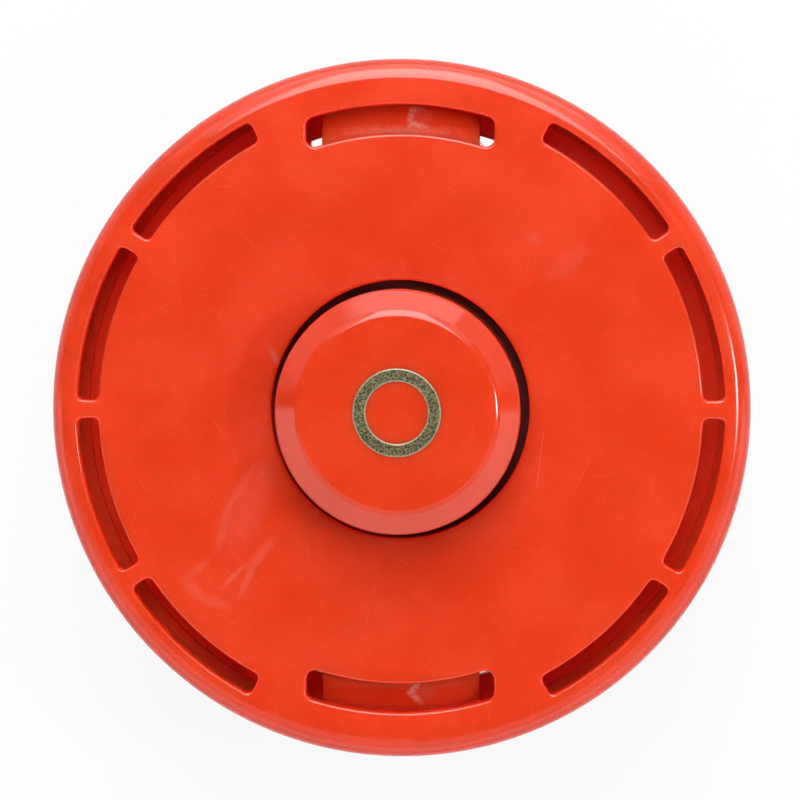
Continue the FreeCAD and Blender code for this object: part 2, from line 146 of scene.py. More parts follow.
def place_group(tree, group, vector, **values):
    """Puts a group into a material with its own values."""
    node = tree.nodes.new("ShaderNodeGroup")
    node.node_tree = group
    tree.links.new(vector, node.inputs["Vector"])
    for label, value in values.items():
        socket = node.inputs[label.replace("_", " ")]
        if isinstance(value, bpy.types.NodeSocket):
            tree.links.new(value, socket)
        else:
            socket.default_value = value
    return node.outputs


def new_material(name):
    """An empty material, its Principled shader and its Object coordinates."""
    material = bpy.data.materials.new(name)
    material.use_nodes = True
    tree = material.node_tree
    tree.nodes.clear()
    shader = tree.nodes.new("ShaderNodeBsdfPrincipled")
    add(tree, "ShaderNodeOutputMaterial", {"Surface": shader.outputs[0]})
    place = tree.nodes.new("ShaderNodeTexCoord").outputs["Object"]
    return material, tree, shader, place


# Mottle: cloudy patches and fine grain, as on passivated zinc.
NOISE_SPREAD = (0.3, 0.7)
mottle, given, result = shader_group("mottle", {"Patch": 0.002, "Grain": 0.0003}, ["Patches", "Grain"])
patch_noise = noise(mottle, given["Vector"], per_metre(mottle, given["Patch"]), detail=3.0)
grain_noise = noise(mottle, given["Vector"], per_metre(mottle, given["Grain"]), detail=2.0)
mottle.links.new(ramp(mottle, patch_noise, *NOISE_SPREAD), result.inputs["Patches"])
mottle.links.new(ramp(mottle, grain_noise, *NOISE_SPREAD), result.inputs["Grain"])

# Lathe marks: fine rings round the Z axis, left by the turning tool.
lathe_marks, given, result = shader_group("lathe_marks", {"Pitch": 0.00012}, ["Rings"])
axis_split = add(lathe_marks, "ShaderNodeSeparateXYZ", {0: given["Vector"]}).outputs
flat_place = point(lathe_marks, x=axis_split[0], y=axis_split[1])
from_axis = vector_node(lathe_marks, "LENGTH", flat_place).outputs["Value"]
ring_place = point(lathe_marks, x=from_axis, z=axis_split[2])
ring_noise = noise(lathe_marks, ring_place, per_metre(lathe_marks, given["Pitch"]), detail=1.0)
lathe_marks.links.new(ramp(lathe_marks, ring_noise, *NOISE_SPREAD), result.inputs["Rings"])

GRAINS_PER_PATCH = 7
GRAIN_SHADE = (0.72, 0.72, 0.72)
UNSHADED = (1.0, 1.0, 1.0)
PLATING_GLOSSIER = 0.06
PLATING_DULLER = 0.1
PLATING_BUMP = 0.12
PLATING_RELIEF = 0.00005


def plated_metal(name, dark, light, roughness, patch=0.002, marks=0.5, axis_turn=(0, 0, 0), worn_and_highlit_edges=None):
    """Plated steel: mottled colour, turning marks, uneven gloss and, on a ring, pale edges that are rubbed
    wear and painted highlight.
    """
    material, tree, shader, place = new_material(name)
    place = add(tree, "ShaderNodeMapping", {"Vector": place, "Rotation": axis_turn}).outputs[0]
    cloud = place_group(tree, mottle, place, Patch=patch, Grain=patch / GRAINS_PER_PATCH)
    rings = place_group(tree, lathe_marks, place)["Rings"]
    blotch = mixed(tree, cloud["Patches"], dark, light)
    speckle = mixed(tree, cloud["Grain"], GRAIN_SHADE, UNSHADED)
    colour = mixed(tree, 1.0, blotch, speckle, "MULTIPLY")
    shader.inputs["Metallic"].default_value = 1.0
    # Pale speckled bands along a ring's inner and outer edges: partly rubbed wear, partly a painted
    # highlight of the rounded edges.
    if worn_and_highlit_edges:
        inner, outer, width, wear_and_highlight_colour = worn_and_highlit_edges
        flat = vector_node(tree, "MULTIPLY", place, (1.0, 1.0, 0.0)).outputs[0]
        radius = vector_node(tree, "LENGTH", flat).outputs["Value"]
        inside = ramp(tree, radius, inner + width / 2, inner + width, 1.0, 0.0)
        outside = ramp(tree, radius, outer - width, outer - width / 2)
        edges = math_node(tree, "MAXIMUM", inside, outside)
        rubbed_and_highlit = math_node(tree, "MULTIPLY", edges, cloud["Grain"])
        colour = mixed(tree, rubbed_and_highlit, colour, wear_and_highlight_colour)
        tree.links.new(math_node(tree, "SUBTRACT", 1.0, rubbed_and_highlit), shader.inputs["Metallic"])
    tree.links.new(colour, shader.inputs["Base Color"])
    gloss = ramp(tree, cloud["Grain"], 0.0, 1.0, roughness - PLATING_GLOSSIER, roughness + PLATING_DULLER)
    tree.links.new(gloss, shader.inputs["Roughness"])
    height = math_node(tree, "ADD", math_node(tree, "MULTIPLY", rings, marks), cloud["Grain"])
    bump = add(tree, "ShaderNodeBump", {
        "Height": height, "Strength": PLATING_BUMP, "Distance": PLATING_RELIEF})
    tree.links.new(bump.outputs[0], shader.inputs["Normal"])
    return material


def geometry_tree(name, inputs):
    """An empty Geometry Nodes tree with named inputs for its sizes."""
    tree = bpy.data.node_groups.new(name, "GeometryNodeTree")
    for label, kind in inputs.items():
        tree.interface.new_socket(label, in_out="INPUT", socket_type=kind)
    tree.interface.new_socket("Geometry", in_out="OUTPUT", socket_type="NodeSocketGeometry")
    return tree, tree.nodes.new("NodeGroupInput").outputs


def end_tree(tree, shape, material):
    """Closes a Geometry Nodes tree with smooth faces, real geometry and its material."""
    smooth = add(tree, "GeometryNodeSetShadeSmooth", {"Geometry": shape}).outputs[0]
    real = add(tree, "GeometryNodeRealizeInstances", {"Geometry": smooth}).outputs[0]
    coloured = add(tree, "GeometryNodeSetMaterial", {"Geometry": real, "Material": material}).outputs[0]
    add(tree, "NodeGroupOutput", {"Geometry": coloured})


def bake(piece, crease):
    """Replaces a piece's mesh by the result of its modifiers, with crisp edges above an angle."""
    graph = bpy.context.evaluated_depsgraph_get()
    mesh = bpy.data.meshes.new_from_object(piece.evaluated_get(graph))
    piece.modifiers.clear()
    piece.data = mesh
    mesh.shade_smooth()
    mesh.set_sharp_from_angle(angle=math.radians(crease))


def new_piece(name, mesh):
    """An object at the origin."""
    piece = bpy.data.objects.new(name, mesh)
    bpy.context.collection.objects.link(piece)
    return piece


def grown(name, tree, crease, **sizes):
    """A piece made by a Geometry Nodes tree with the given sizes."""
    piece = new_piece(name, bpy.data.meshes.new(name))
    modifier = piece.modifiers.new(name, "NODES")
    modifier.node_group = tree
    for item in tree.interface.items_tree:
        if item.in_out == "INPUT":
            modifier[item.identifier] = sizes[item.name.replace(" ", "_").lower()]
    bake(piece, crease)
    return piece


WELD_REACH = 1e-7


def welded_copy(name, node):
    """A copy of a CAD node's mesh with its loose triangles joined."""
    mesh = bpy.data.meshes.new(name)
    weld = bmesh.new()
    weld.from_mesh(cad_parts[node].data)
    bmesh.ops.remove_doubles(weld, verts=weld.verts, dist=WELD_REACH)
    weld.to_mesh(mesh)
    weld.free()
    if "custom_normal" in mesh.attributes:
        mesh.attributes.remove(mesh.attributes["custom_normal"])
    return new_piece(name, mesh)


adapter_metal = plated_metal("adapter_clear_zinc", ADAPTER_GREY, ADAPTER_SILVER, ADAPTER_ROUGHNESS)

# Thread cutter: a left-hand ridge with 60 degrees between its flanks, flat at the major diameter.
# The profile's X points at the axis, so the root of the thread is on its negative side.
cutter_tree, size = geometry_tree("thread_cutter", {
    "Pitch": "NodeSocketFloat", "Minor Radius": "NodeSocketFloat", "Major Radius": "NodeSocketFloat",
    "Height": "NodeSocketFloat", "Steps Per Turn": "NodeSocketInt"})
cutter_turns = math_node(cutter_tree, "DIVIDE", size["Height"], size["Pitch"])
helix = add(cutter_tree, "GeometryNodeCurveSpiral", {
    "Resolution": size["Steps Per Turn"], "Rotations": cutter_turns, "Start Radius": size["Minor Radius"],
    "End Radius": size["Minor Radius"], "Height": size["Height"], "Reverse": False}).outputs[0]
helix = add(cutter_tree, "GeometryNodeSetCurveNormal", {"Curve": helix}, mode="Z_UP").outputs[0]
root_x = math_node(cutter_tree, "SUBTRACT", size["Minor Radius"], size["Major Radius"])
root_half = math_node(cutter_tree, "MULTIPLY", size["Pitch"], THREAD_ROOT_SHARE)
mouth_x = math_node(cutter_tree, "MULTIPLY", size["Pitch"], THREAD_MOUTH_SHARE)
flank_depth = math_node(cutter_tree, "SUBTRACT", mouth_x, root_x)
flank_width = math_node(cutter_tree, "MULTIPLY", flank_depth, math.tan(THREAD_FLANK))
mouth_half = math_node(cutter_tree, "ADD", root_half, flank_width)
ridge = add(cutter_tree, "GeometryNodeCurvePrimitiveQuadrilateral", {
    "Point 1": point(cutter_tree, mouth_x, mouth_half),
    "Point 2": point(cutter_tree, root_x, root_half),
    "Point 3": point(cutter_tree, root_x, math_node(cutter_tree, "MULTIPLY", root_half, -1.0)),
    "Point 4": point(cutter_tree, mouth_x, math_node(cutter_tree, "MULTIPLY", mouth_half, -1.0)),
}, mode="POINTS").outputs[0]
ridge_mesh = add(cutter_tree, "GeometryNodeCurveToMesh", {
    "Curve": helix, "Profile Curve": ridge, "Fill Caps": True}).outputs[0]
lowered = add(cutter_tree, "GeometryNodeSetPosition", {
    "Geometry": ridge_mesh, "Offset": (0.0, 0.0, -THREAD_OVERRUN)}).outputs[0]
end_tree(cutter_tree, lowered, adapter_metal)
adapter_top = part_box("drive_adapter")[1][2]
cutter = grown(
    "thread_cutter", cutter_tree, THREAD_CREASE, pitch=THREAD_PITCH, minor_radius=THREAD_MINOR_RADIUS,
    major_radius=THREAD_MAJOR_RADIUS, height=adapter_top + 2 * THREAD_OVERRUN,
    steps_per_turn=THREAD_STEPS_PER_TURN)

adapter = welded_copy("drive_adapter_threaded", "drive_adapter")
adapter.data.materials.clear()
adapter.data.materials.append(adapter_metal)
tapping = adapter.modifiers.new("tapping", "BOOLEAN")
tapping.object = cutter
tapping.operation = "DIFFERENCE"
tapping.solver = "EXACT"
bake(adapter, ADAPTER_CREASE)
bpy.data.objects.remove(cutter)
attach(adapter, "head")
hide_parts("drive_adapter")

# Housing
# The moulded shell of the head: hub, ribbed roof, skirt, flange and the two springy latch arms.
# It is one shot of glossy, slightly translucent red nylon, with arcs of powder on the latch noses and pale
# bands along their ridges that are dust and painted highlight.
RED = (0.82, 0.050, 0.010)
RED_DEEP = (0.765, 0.042, 0.008)
DUST_AND_SHEEN_TINT = (0.86, 0.66, 0.58)
PIT = (0.20, 0.010, 0.006)
GRAIN_DARK = (0.94, 0.90, 0.88)


def dress(node, material):
    """Gives a carried-over CAD node its finish."""
    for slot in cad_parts[node].material_slots:
        slot.material = material


# Hairlines: one short straight scratch at a random slant in some cells of a Voronoi grid.
hairlines, given, result = shader_group(
    "hairlines", {"Cell": 0.006, "Width": 0.00006, "Length": 0.004, "Share": 0.5}, ["Lines"])
cells = add(hairlines, "ShaderNodeTexVoronoi", {
    "Vector": given["Vector"], "Scale": per_metre(hairlines, given["Cell"])})
offset = vector_node(hairlines, "SUBTRACT", given["Vector"], cells.outputs["Position"]).outputs[0]
slant = vector_node(hairlines, "SUBTRACT", cells.outputs["Color"], (0.5, 0.5, 0.5)).outputs[0]
slant = vector_node(hairlines, "NORMALIZE", slant).outputs[0]
across = vector_node(hairlines, "DOT_PRODUCT", offset, slant).outputs["Value"]
across = math_node(hairlines, "ABSOLUTE", across)
along = vector_node(hairlines, "LENGTH", offset).outputs["Value"]
thin = ramp(hairlines, across, 0.0, given["Width"], 1.0, 0.0)
short = ramp(hairlines, along, 0.0, given["Length"], 1.0, 0.0)
draw = add(hairlines, "ShaderNodeTexWhiteNoise", {"Vector": cells.outputs["Position"]}).outputs["Value"]
chosen = math_node(hairlines, "LESS_THAN", draw, given["Share"])
line_mask = math_node(hairlines, "MULTIPLY", math_node(hairlines, "MULTIPLY", thin, short), chosen)
hairlines.links.new(line_mask, result.inputs["Lines"])

# Specks: small round grains of dust, of uneven size, in some cells of a Voronoi grid.
SPECK_CORE = 0.5
specks, given, result = shader_group("specks", {"Cell": 0.003, "Size": 0.00015, "Share": 0.4}, ["Grains"])
cells = add(specks, "ShaderNodeTexVoronoi", {
    "Vector": given["Vector"], "Scale": per_metre(specks, given["Cell"])})
away = vector_node(specks, "SUBTRACT", given["Vector"], cells.outputs["Position"]).outputs[0]
away = vector_node(specks, "LENGTH", away).outputs["Value"]
lot = add(specks, "ShaderNodeTexWhiteNoise", {"Vector": cells.outputs["Position"]})
speck_size = math_node(specks, "MULTIPLY", given["Size"], lot.outputs["Value"])
speck = ramp(specks, math_node(specks, "DIVIDE", away, speck_size), SPECK_CORE, 1.0, 1.0, 0.0)
lot_red = add(specks, "ShaderNodeSeparateColor", {0: lot.outputs["Color"]}).outputs[0]
kept = math_node(specks, "LESS_THAN", lot_red, given["Share"])
specks.links.new(math_node(specks, "MULTIPLY", speck, kept), result.inputs["Grains"])

# Powder: noise drawn out along the way a surface was wiped, and the fine grain of the dust on it.
WIPE_STRETCH = (0.3, 1.0, 1.0)
FRAY_ROUGHNESS = 0.65
POWDER_GRAINS_PER_METRE = 2600.0
POWDER_SPREAD = (0.3, 0.65)
powder, given, result = shader_group(
    "powder", {"Wipe Turn": 0.0, "Fray Size": 0.0014, "Grain Depth": 0.65}, ["Fray", "Grain"])
turned = add(powder, "ShaderNodeVectorRotate", {
    "Vector": given["Vector"], "Angle": given["Wipe Turn"]}, rotation_type="Z_AXIS").outputs[0]
wiped = vector_node(powder, "MULTIPLY", turned, WIPE_STRETCH).outputs[0]
frayed = noise(powder, wiped, per_metre(powder, given["Fray Size"]), detail=4.0, roughness=FRAY_ROUGHNESS)
grainy = noise(powder, turned, POWDER_GRAINS_PER_METRE, detail=2.0)
thinnest = math_node(powder, "SUBTRACT", 1.0, given["Grain Depth"])
powder.links.new(math_node(powder, "SUBTRACT", frayed, 0.5), result.inputs["Fray"])
powder.links.new(ramp(powder, grainy, *POWDER_SPREAD, thinnest, 1.0), result.inputs["Grain"])

# Dust and sheen patch: one soft elongated patch at a stated place, used both for dust and for painted
# highlight.
SMUDGE_CORE = 0.2
smudge, given, result = shader_group("smudge", {
    "Centre": (0.0, 0.0, 0.0), "Turn": 0.0, "Half Length": 0.005, "Half Width": 0.002, "Half Height": 0.006,
    "Fray": 0.0, "Grain": 1.0,
}, ["Dust"])
from_centre = vector_node(smudge, "SUBTRACT", given["Vector"], given["Centre"]).outputs[0]
turned = add(smudge, "ShaderNodeVectorRotate", {
    "Vector": from_centre, "Angle": given["Turn"]}, rotation_type="Z_AXIS").outputs[0]
turned_split = add(smudge, "ShaderNodeSeparateXYZ", {0: turned}).outputs
lengthwise = math_node(smudge, "DIVIDE", turned_split[0], given["Half Length"])
widthwise = math_node(smudge, "DIVIDE", turned_split[1], given["Half Width"])
upward = math_node(smudge, "DIVIDE", turned_split[2], given["Half Height"])
reach = vector_node(smudge, "LENGTH", point(smudge, lengthwise, widthwise, upward)).outputs["Value"]
reach = math_node(smudge, "ADD", reach, given["Fray"])
patch = ramp(smudge, reach, SMUDGE_CORE, 1.0, 1.0, 0.0)
smudge.links.new(math_node(smudge, "MULTIPLY", patch, given["Grain"]), result.inputs["Dust"])

TONE = {"Patch": 0.011, "Grain": 0.00032}
FINE_LINES = {"Cell": 0.005, "Width": 0.00003, "Length": 0.0026}
LONG_LINES = {"Cell": 0.017, "Width": 0.00004, "Length": 0.0085}
LONG_LINES_SHARE = 0.6
DUST_GRAINS = {"Cell": 0.0011, "Size": 0.00015}
PITS = {"Cell": 0.0085, "Size": 0.00016, "Share": 0.3}
FILM_STRENGTH = 0.012
SCRATCH_STRENGTH = 0.11
DUST_STRENGTH = 0.45
PIT_STRENGTH = 0.6
DULLED = 0.4
PEEL_PER_METRE = 420.0
PEEL_BUMP = 0.06
PEEL_RELIEF = 0.0001
NYLON_IOR = 1.5
GLOW_REACH = (1.0, 0.12, 0.04)


def red_plastic(name, roughness, scratches, dust, glow_depth, wipe_turn=0.0, dust_and_sheen_patches=(), fray_size=0.0014,
                grain_depth=0.65):
    """Glossy, slightly translucent moulded plastic with hairlines, dust grains and placed patches of dust
    and painted highlight.
    """
    material, tree, shader, place = new_material(name)
    tone = place_group(tree, mottle, place, **TONE)
    haze = place_group(
        tree, powder, place, Wipe_Turn=math.radians(wipe_turn), Fray_Size=fray_size, Grain_Depth=grain_depth)
    colour = mixed(tree, tone["Patches"], RED_DEEP, RED)
    colour = mixed(tree, 1.0, colour, mixed(tree, tone["Grain"], GRAIN_DARK, UNSHADED), "MULTIPLY")
    film = math_node(tree, "MULTIPLY", tone["Patches"], haze["Grain"])
    film = math_node(tree, "MULTIPLY", film, FILM_STRENGTH)
    colour = mixed(tree, film, colour, DUST_AND_SHEEN_TINT)
    fine = place_group(tree, hairlines, place, Share=scratches, **FINE_LINES)["Lines"]
    long_share = scratches * LONG_LINES_SHARE
    long_ones = place_group(tree, hairlines, place, Share=long_share, **LONG_LINES)["Lines"]
    scratched = math_node(tree, "MAXIMUM", fine, long_ones)
    colour = mixed(tree, math_node(tree, "MULTIPLY", scratched, SCRATCH_STRENGTH), colour, DUST_AND_SHEEN_TINT)
    grains = place_group(tree, specks, place, Share=dust, **DUST_GRAINS)["Grains"]
    colour = mixed(tree, math_node(tree, "MULTIPLY", grains, DUST_STRENGTH), colour, DUST_AND_SHEEN_TINT)
    pits = place_group(tree, specks, place, **PITS)["Grains"]
    colour = mixed(tree, math_node(tree, "MULTIPLY", pits, PIT_STRENGTH), colour, PIT)
    dull = math_node(tree, "ADD", scratched, film)
    # Placed patches: dust, and on the latch noses also a painted highlight along each ridge.
    for centre, turn, half_length, half_width, strength in dust_and_sheen_patches:
        patch = place_group(
            tree, smudge, place, Centre=centre, Turn=math.radians(turn), Half_Length=half_length,
            Half_Width=half_width, Fray=haze["Fray"], Grain=haze["Grain"])["Dust"]
        patch = math_node(tree, "MULTIPLY", patch, strength)
        colour = mixed(tree, patch, colour, DUST_AND_SHEEN_TINT)
        dull = math_node(tree, "ADD", dull, patch)
    tree.links.new(colour, shader.inputs["Base Color"])
    tree.links.new(ramp(tree, dull, 0.0, 1.0, roughness, roughness + DULLED), shader.inputs["Roughness"])
    peel = noise(tree, place, PEEL_PER_METRE, detail=0.0)
    bump = add(tree, "ShaderNodeBump", {"Height": peel, "Strength": PEEL_BUMP, "Distance": PEEL_RELIEF})
    tree.links.new(bump.outputs[0], shader.inputs["Normal"])
    shader.inputs["IOR"].default_value = NYLON_IOR
    shader.subsurface_method = "BURLEY"
    shader.inputs["Subsurface Weight"].default_value = 1.0
    shader.inputs["Subsurface Radius"].default_value = GLOW_REACH
    shader.inputs["Subsurface Scale"].default_value = glow_depth
    return material


# Powder and painted highlight on the noses: centre, turn in degrees, half length, half width and strength of
# each patch.
NOSE_HALF_DROP = 0.0014
NOSE_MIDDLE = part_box("housing")[1][2] - NOSE_HALF_DROP
NOSE_POWDER_AND_SHEEN = [
    ((0.0016, 0.0461, NOSE_MIDDLE), -81, 0.0024, 0.0008, 0.36),
    ((0.0027, 0.0472, NOSE_MIDDLE), 0, 0.0016, 0.0007, 0.22),
    ((0.0029, 0.0446, NOSE_MIDDLE), 15, 0.0018, 0.0007, 0.26),
    ((0.0034, 0.0459, NOSE_MIDDLE), 0, 0.0024, 0.0018, 0.06),
    ((0.0021, -0.0442, NOSE_MIDDLE), -42, 0.0018, 0.0007, 0.40),
    ((0.0023, -0.0458, NOSE_MIDDLE), 49, 0.0024, 0.0008, 0.36),
    ((0.0037, -0.0450, NOSE_MIDDLE), 0, 0.0028, 0.0018, 0.08),
    # The last two are long pale bands along the noses' ridges: dust, and also a painted highlight of the
    # ridge, stronger on the upper nose.
    ((0.0, 0.0437, NOSE_MIDDLE), 0, 0.0130, 0.0012, 0.10),
    ((0.0, -0.0437, NOSE_MIDDLE), 0, 0.0130, 0.0012, 0.04)]
housing_plastic = red_plastic(
    "housing_red_nylon", roughness=0.2, scratches=0.3, dust=0.5, glow_depth=0.008, wipe_turn=80,
    dust_and_sheen_patches=NOSE_POWDER_AND_SHEEN)
dress("housing", housing_plastic)

# Adapter retainer
# A thin ring of oiled spring steel, pushed down the post onto the adapter's hexagon.
# It keeps the adapter in its pocket while the head is off the shaft.
RETAINER_GREY = (0.18, 0.18, 0.19)
RETAINER_GREY_LIGHT = (0.36, 0.36, 0.37)
retainer_steel = plated_metal("retainer_oiled_steel", RETAINER_GREY, RETAINER_GREY_LIGHT, roughness=0.32)
dress("adapter_retainer", retainer_steel)

# Line eyelets
# Two turned steel sleeves with bright zinc plating, where the line leaves the head.
# They are pressed into the bosses on the housing's skirt, and their turning marks run round X.
EYELET_GREY = (0.50, 0.51, 0.53)
EYELET_SILVER = (0.68, 0.69, 0.70)
eyelet_zinc = plated_metal(
    "eyelet_bright_zinc", EYELET_GREY, EYELET_SILVER, roughness=0.2, axis_turn=(0, math.pi / 2, 0))
for eyelet in ("eyelet_right", "eyelet_left"):
    dress(eyelet, eyelet_zinc)

# Spring seat
# A stamped steel washer with clear zinc plating, laid on the roof round the post.
# The foot of the bump spring stands on it and not on the plastic.
WASHER_GREY = (0.40, 0.41, 0.43)
WASHER_SILVER = (0.60, 0.61, 0.63)
washer_zinc = plated_metal("washer_clear_zinc", WASHER_GREY, WASHER_SILVER, roughness=0.36, patch=0.003)
dress("spring_seat", washer_zinc)

# Bump spring
# A compression spring of oiled steel wire round the post, with a closed turn at each end.
# It pushes the thrust washer and the spool up against the cover.
WIRE_DIAMETER = 0.0018
SPRING_MEAN_RADIUS = 0.0134
SPRING_TURNS = 6.0
SPRING_CLOSED_TURNS = 2.0
CLOSED_SPACING = 1.02
CLOSED_PITCH = WIRE_DIAMETER * CLOSED_SPACING
SPRING_STEPS_PER_TURN = 48
WIRE_SIDES = 14
WIRE_CREASE = 50
SPRING_GREY = (0.16, 0.16, 0.17)
SPRING_GREY_LIGHT = (0.34, 0.34, 0.35)
spring_steel = plated_metal("spring_oiled_steel", SPRING_GREY, SPRING_GREY_LIGHT, roughness=0.3, marks=0.0)

# Closed coil: a helix whose first and last turns lie wire on wire, swept with a round wire.
coil_tree, size = geometry_tree("closed_coil", {
    "Foot": "NodeSocketFloat", "Head": "NodeSocketFloat", "Mean Radius": "NodeSocketFloat",
    "Wire Diameter": "NodeSocketFloat", "Closed Pitch": "NodeSocketFloat", "Turns": "NodeSocketFloat",
    "Steps Per Turn": "NodeSocketInt", "Wire Sides": "NodeSocketInt"})
wire_radius = math_node(coil_tree, "DIVIDE", size["Wire Diameter"], 2.0)
steps = math_node(coil_tree, "MULTIPLY", size["Turns"], size["Steps Per Turn"])
straight = add(coil_tree, "GeometryNodeResampleCurve", {
    "Curve": coil_tree.nodes.new("GeometryNodeCurvePrimitiveLine").outputs[0],
    "Count": math_node(coil_tree, "ADD", steps, 1.0)}).outputs[0]
index = coil_tree.nodes.new("GeometryNodeInputIndex").outputs[0]
turn = math_node(coil_tree, "DIVIDE", index, size["Steps Per Turn"])
first_turn = math_node(coil_tree, "MINIMUM", turn, 1.0)
before_last = math_node(coil_tree, "SUBTRACT", size["Turns"], 1.0)
last_turn = math_node(coil_tree, "MAXIMUM", math_node(coil_tree, "SUBTRACT", turn, before_last), 0.0)
closed_turns = math_node(coil_tree, "ADD", first_turn, last_turn)
open_turns = math_node(coil_tree, "SUBTRACT", turn, closed_turns)
closed_rise = math_node(coil_tree, "MULTIPLY", size["Closed Pitch"], SPRING_CLOSED_TURNS)
open_rise = math_node(coil_tree, "SUBTRACT", size["Head"], size["Foot"])
open_rise = math_node(coil_tree, "SUBTRACT", open_rise, size["Wire Diameter"])
open_rise = math_node(coil_tree, "SUBTRACT", open_rise, closed_rise)
open_count = math_node(coil_tree, "SUBTRACT", size["Turns"], SPRING_CLOSED_TURNS)
open_pitch = math_node(coil_tree, "DIVIDE", open_rise, open_count)
rise = math_node(
    coil_tree, "ADD", math_node(coil_tree, "MULTIPLY", closed_turns, size["Closed Pitch"]),
    math_node(coil_tree, "MULTIPLY", open_turns, open_pitch))
height = math_node(coil_tree, "ADD", rise, math_node(coil_tree, "ADD", size["Foot"], wire_radius))
angle = math_node(coil_tree, "MULTIPLY", turn, 2 * math.pi)
coil_x = math_node(coil_tree, "MULTIPLY", math_node(coil_tree, "COSINE", angle), size["Mean Radius"])
coil_y = math_node(coil_tree, "MULTIPLY", math_node(coil_tree, "SINE", angle), size["Mean Radius"])
coil = add(coil_tree, "GeometryNodeSetPosition", {
    "Geometry": straight, "Position": point(coil_tree, coil_x, coil_y, height)}).outputs[0]
coil = add(coil_tree, "GeometryNodeSetCurveNormal", {"Curve": coil}, mode="Z_UP").outputs[0]
wire = add(coil_tree, "GeometryNodeCurvePrimitiveCircle", {
    "Resolution": size["Wire Sides"], "Radius": wire_radius}).outputs[0]
coil_mesh = add(coil_tree, "GeometryNodeCurveToMesh", {
    "Curve": coil, "Profile Curve": wire, "Fill Caps": True}).outputs[0]
end_tree(coil_tree, coil_mesh, spring_steel)
spring_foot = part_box("spring_seat")[1][2]
spring_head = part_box("thrust_washer")[0][2]
spring = grown(
    "bump_spring_coil", coil_tree, WIRE_CREASE, foot=spring_foot, head=spring_head,
    mean_radius=SPRING_MEAN_RADIUS, wire_diameter=WIRE_DIAMETER, closed_pitch=CLOSED_PITCH,
    turns=SPRING_TURNS, steps_per_turn=SPRING_STEPS_PER_TURN, wire_sides=WIRE_SIDES)
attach(spring, "head")
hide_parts("bump_spring")
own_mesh(spring)

# Thrust washer
# A stamped steel washer with clear zinc plating, like the spring seat.
# It lies loose between the spring and the spool, which turns on it.
dress("thrust_washer", washer_zinc)

# Spool
# The moulded spool with two line chambers and drive lugs on both faces, in satin nylon. It turns and slides
# on the post, and shows at the bottom of the gap round the knob; its dark red colour is partly its own and
# partly painted shade of that deep gap.
# Dark red: the spool's own dark colour, with the red-tinted shade of the gap round the knob painted in.
SPOOL_RED_WITH_GAP_SHADE = (0.13, 0.016, 0.012)
SPOOL_RED_DEEP_WITH_GAP_SHADE = (0.085, 0.010, 0.008)
SPOOL_TONE = {"Patch": 0.012, "Grain": 0.0007}
SPOOL_ROUGHNESS = (0.42, 0.58)
SPOOL_BUMP = 0.15
SPOOL_RELIEF = 0.0001
SPOOL_SPECULAR = 0.15
spool_plastic, spool_tree, spool_shader, spool_place = new_material("spool_dark_red_nylon")
spool_tone = place_group(spool_tree, mottle, spool_place, **SPOOL_TONE)
spool_colour_with_gap_shade = mixed(spool_tree, spool_tone["Patches"], SPOOL_RED_DEEP_WITH_GAP_SHADE, SPOOL_RED_WITH_GAP_SHADE)
spool_gloss = ramp(spool_tree, spool_tone["Grain"], 0.0, 1.0, *SPOOL_ROUGHNESS)
spool_bump = add(spool_tree, "ShaderNodeBump", {
    "Height": spool_tone["Grain"], "Strength": SPOOL_BUMP, "Distance": SPOOL_RELIEF})
spool_tree.links.new(spool_colour_with_gap_shade, spool_shader.inputs["Base Color"])
spool_tree.links.new(spool_gloss, spool_shader.inputs["Roughness"])
spool_tree.links.new(spool_bump.outputs[0], spool_shader.inputs["Normal"])
spool_shader.inputs["Specular IOR Level"].default_value = SPOOL_SPECULAR
dress("spool", spool_plastic)

# Cover
# The moulded cap that closes the head, held by the two latch noses in its wide slots.
# Glossy red nylon with hairline scratches from the packing, dust and a forked smear beside the knob.
COVER_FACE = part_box("cover")[1][2]
# Smears: centre, turn in degrees, half length, half width and strength of each patch.
COVER_SMEARS = [
    ((-0.0246, -0.0162, COVER_FACE), -63, 0.0120, 0.0042, 0.036),
    ((-0.0251, -0.0123, COVER_FACE), -59, 0.0056, 0.0010, 0.030),
    ((-0.0279, -0.0191, COVER_FACE), -75, 0.0060, 0.0010, 0.034),
    ((-0.0313, -0.0248, COVER_FACE), -42, 0.0046, 0.0011, 0.045),
    ((-0.0326, -0.0283, COVER_FACE), 49, 0.0030, 0.0016, 0.045),
    ((-0.0293, -0.0303, COVER_FACE), 22, 0.0038, 0.0013, 0.040),
    ((-0.0216, -0.0226, COVER_FACE), -49, 0.0048, 0.0012, 0.045),
    ((-0.0242, -0.0272, COVER_FACE), -65, 0.0036, 0.0009, 0.060),
    ((-0.0263, -0.0264, COVER_FACE), -45, 0.0036, 0.0006, 0.060),
    ((0.0208, 0.0269, COVER_FACE), 0, 0.0018, 0.0017, 0.035),
    ((0.0262, 0.0230, COVER_FACE), -35, 0.0060, 0.0022, 0.025),
    ((-0.0198, 0.0084, COVER_FACE), 60, 0.0028, 0.0008, 0.09)]
cover_plastic = red_plastic(
    "cover_red_nylon", roughness=0.16, scratches=0.5, dust=0.5, glow_depth=0.012, wipe_turn=-64,
    dust_and_sheen_patches=COVER_SMEARS, fray_size=0.0045, grain_depth=0.15)
dress("cover", cover_plastic)

# Bump knob
# The moulded knob that is tapped on the ground, of the same glossy red nylon as the cover.
# It reaches through the cover's hole and is clipped into the spool.
knob_plastic = red_plastic("knob_red_nylon", roughness=0.1, scratches=0.25, dust=0.35, glow_depth=0.004)
dress("bump_knob", knob_plastic)

